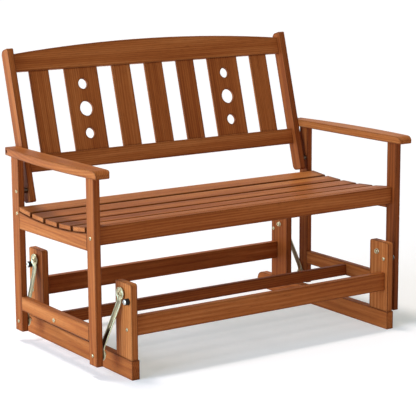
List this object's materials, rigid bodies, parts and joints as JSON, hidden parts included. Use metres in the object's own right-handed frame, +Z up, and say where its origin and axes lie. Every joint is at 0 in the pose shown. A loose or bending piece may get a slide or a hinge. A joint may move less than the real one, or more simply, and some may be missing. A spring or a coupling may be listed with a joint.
{
  "type": "glider bench",
  "caption": "Slatted wooden glider bench with a pierced back and wide armrests, hung on joggled steel swing arms inside its legs from a fixed base on skids.",
  "frame": {"origin": "on the floor under the centre of the overall box, with the bench at rest", "axes": "+X across the bench to the right as seen from the front, -Y to the front, +Z up"},
  "size_m": [1.2312, 0.736, 0.9464],
  "materials": {
    "stained_wood": "reddish-brown stained and oiled hardwood, satin",
    "plated_arm": "yellow zinc plated pressed steel, satin",
    "bolt_steel": "zinc plated steel, slightly dulled",
    "bumper_rubber": "matt black rubber"
  },
  "bodies": {
    "base": {"base_bolts": "bolt_steel", "bumper_nuts": "bolt_steel", "front_bumpers": "bumper_rubber", "front_stretcher": "stained_wood", "front_upper_pivots": "bolt_steel", "front_upright_left": "stained_wood", "front_upright_right": "stained_wood", "rear_bumpers": "bumper_rubber", "rear_stretcher": "stained_wood", "rear_upper_pivots": "bolt_steel", "rear_upright_left": "stained_wood", "rear_upright_right": "stained_wood", "skid_left": "stained_wood", "skid_right": "stained_wood"},
    "bench": {"armrest_left": "stained_wood", "armrest_right": "stained_wood", "back_bottom_rail": "stained_wood", "back_panel_1": "stained_wood", "back_panel_2": "stained_wood", "back_slat_1": "stained_wood", "back_slat_2": "stained_wood", "back_slat_3": "stained_wood", "back_slat_4": "stained_wood", "back_slat_5": "stained_wood", "back_stile_left": "stained_wood", "back_stile_right": "stained_wood", "back_top_rail": "stained_wood", "bench_bolts": "bolt_steel", "cross_rail": "stained_wood", "front_apron": "stained_wood", "front_leg_left": "stained_wood", "front_leg_right": "stained_wood", "front_lower_pivots": "bolt_steel", "lower_rail_left": "stained_wood", "lower_rail_right": "stained_wood", "rear_apron": "stained_wood", "rear_leg_left": "stained_wood", "rear_leg_right": "stained_wood", "rear_lower_pivots": "bolt_steel", "seat_bearer_left": "stained_wood", "seat_bearer_middle": "stained_wood", "seat_bearer_right": "stained_wood", "seat_rail_left": "stained_wood", "seat_rail_right": "stained_wood", "seat_slat_1": "stained_wood", "seat_slat_2": "stained_wood", "seat_slat_3": "stained_wood", "seat_slat_4": "stained_wood", "seat_slat_5": "stained_wood", "stile_spacers": "bolt_steel"},
    "glide_front_arm_left": {"front_arm_left": "plated_arm"},
    "glide_front_arm_right": {"front_arm_right": "plated_arm"},
    "glide_rear_arm_left": {"rear_arm_left": "plated_arm"},
    "glide_rear_arm_right": {"rear_arm_right": "plated_arm"}
  },
  "joints": [
    {"name": "front_left_arm_swing", "type": "hinge", "parent": "base", "child": "glide_front_arm_left", "pos_m": [-0.508, -0.309, 0.256], "axis": [1, 0, 0], "range_deg": [-20, 20]},
    {"name": "front_right_arm_swing", "type": "hinge", "parent": "base", "child": "glide_front_arm_right", "pos_m": [0.508, -0.309, 0.256], "axis": [1, 0, 0], "range_deg": [-20, 20]},
    {"name": "rear_left_arm_swing", "type": "hinge", "parent": "base", "child": "glide_rear_arm_left", "pos_m": [-0.508, 0.237, 0.256], "axis": [1, 0, 0], "range_deg": [-20, 20]},
    {"name": "rear_right_arm_swing", "type": "hinge", "parent": "base", "child": "glide_rear_arm_right", "pos_m": [0.508, 0.237, 0.256], "axis": [1, 0, 0], "range_deg": [-20, 20]},
    {"name": "bench_on_front_arm", "type": "hinge", "parent": "glide_front_arm_left", "child": "bench", "pos_m": [-0.556, -0.277, 0.069], "axis": [1, 0, 0], "range_deg": [-22.7, 22.7]}
  ],
  "couplings": [
    {"joint": "front_right_arm_swing", "follows": "front_left_arm_swing", "ratio": 1},
    {"joint": "rear_left_arm_swing", "follows": "front_left_arm_swing", "ratio": 1},
    {"joint": "rear_right_arm_swing", "follows": "front_left_arm_swing", "ratio": 1},
    {"joint": "bench_on_front_arm", "follows": "front_left_arm_swing", "ratio": -1.13}
  ]
}
